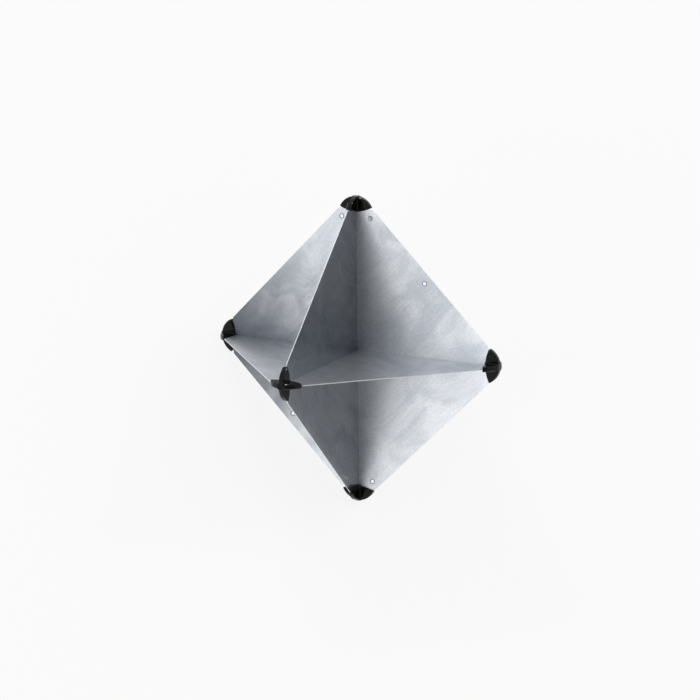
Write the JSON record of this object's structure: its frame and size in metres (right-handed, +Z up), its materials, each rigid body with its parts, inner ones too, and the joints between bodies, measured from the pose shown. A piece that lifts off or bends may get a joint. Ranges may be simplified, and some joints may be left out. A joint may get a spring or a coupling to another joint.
{
  "type": "radar reflector",
  "caption": "Octahedral radar reflector for a boat: crossed square metal sheets held at each corner by a cross-finned push-on plastic cap.",
  "frame": {"origin": "centre of the footprint, on the ground the reflector lies on", "axes": "+Z up from the face that it lies on, between the left, back and bottom corners; the right corner's diagonal leans up over +X, the top corner's towards +Y and the front corner's towards -Y"},
  "size_m": [0.34, 0.303, 0.2503],
  "materials": {
    "sheet_aluminium": "mill-finish rolled sheet, satin with a cloudy mottle",
    "black_plastic": "glossy injection moulding"
  },
  "bodies": {
    "sheets": {"cross_sheet": "sheet_aluminium", "upright_sheet": "sheet_aluminium", "level_sheet_back": "sheet_aluminium", "level_sheet_front": "sheet_aluminium"},
    "cap_right": {"cap_right": "black_plastic"},
    "cap_left": {"cap_left": "black_plastic"},
    "cap_back": {"cap_back": "black_plastic"},
    "cap_front": {"cap_front": "black_plastic"},
    "cap_top": {"cap_top": "black_plastic"},
    "cap_bottom": {"cap_bottom": "black_plastic"}
  },
  "joints": [
    {"name": "cap_right_pull", "type": "slide", "parent": "sheets", "child": "cap_right", "axis": [0.8165, 0, 0.5773], "range_m": [0, 0.03]},
    {"name": "cap_left_pull", "type": "slide", "parent": "sheets", "child": "cap_left", "axis": [-0.8165, 0, -0.5773], "range_m": [0, 0.03]},
    {"name": "cap_back_pull", "type": "slide", "parent": "sheets", "child": "cap_back", "axis": [0.4082, 0.7071, -0.5774], "range_m": [0, 0.03]},
    {"name": "cap_front_pull", "type": "slide", "parent": "sheets", "child": "cap_front", "axis": [-0.4082, -0.7071, 0.5774], "range_m": [0, 0.03]},
    {"name": "cap_top_pull", "type": "slide", "parent": "sheets", "child": "cap_top", "axis": [-0.4082, 0.7071, 0.5774], "range_m": [0, 0.03]},
    {"name": "cap_bottom_pull", "type": "slide", "parent": "sheets", "child": "cap_bottom", "axis": [0.4082, -0.7071, -0.5774], "range_m": [0, 0.03]}
  ]
}
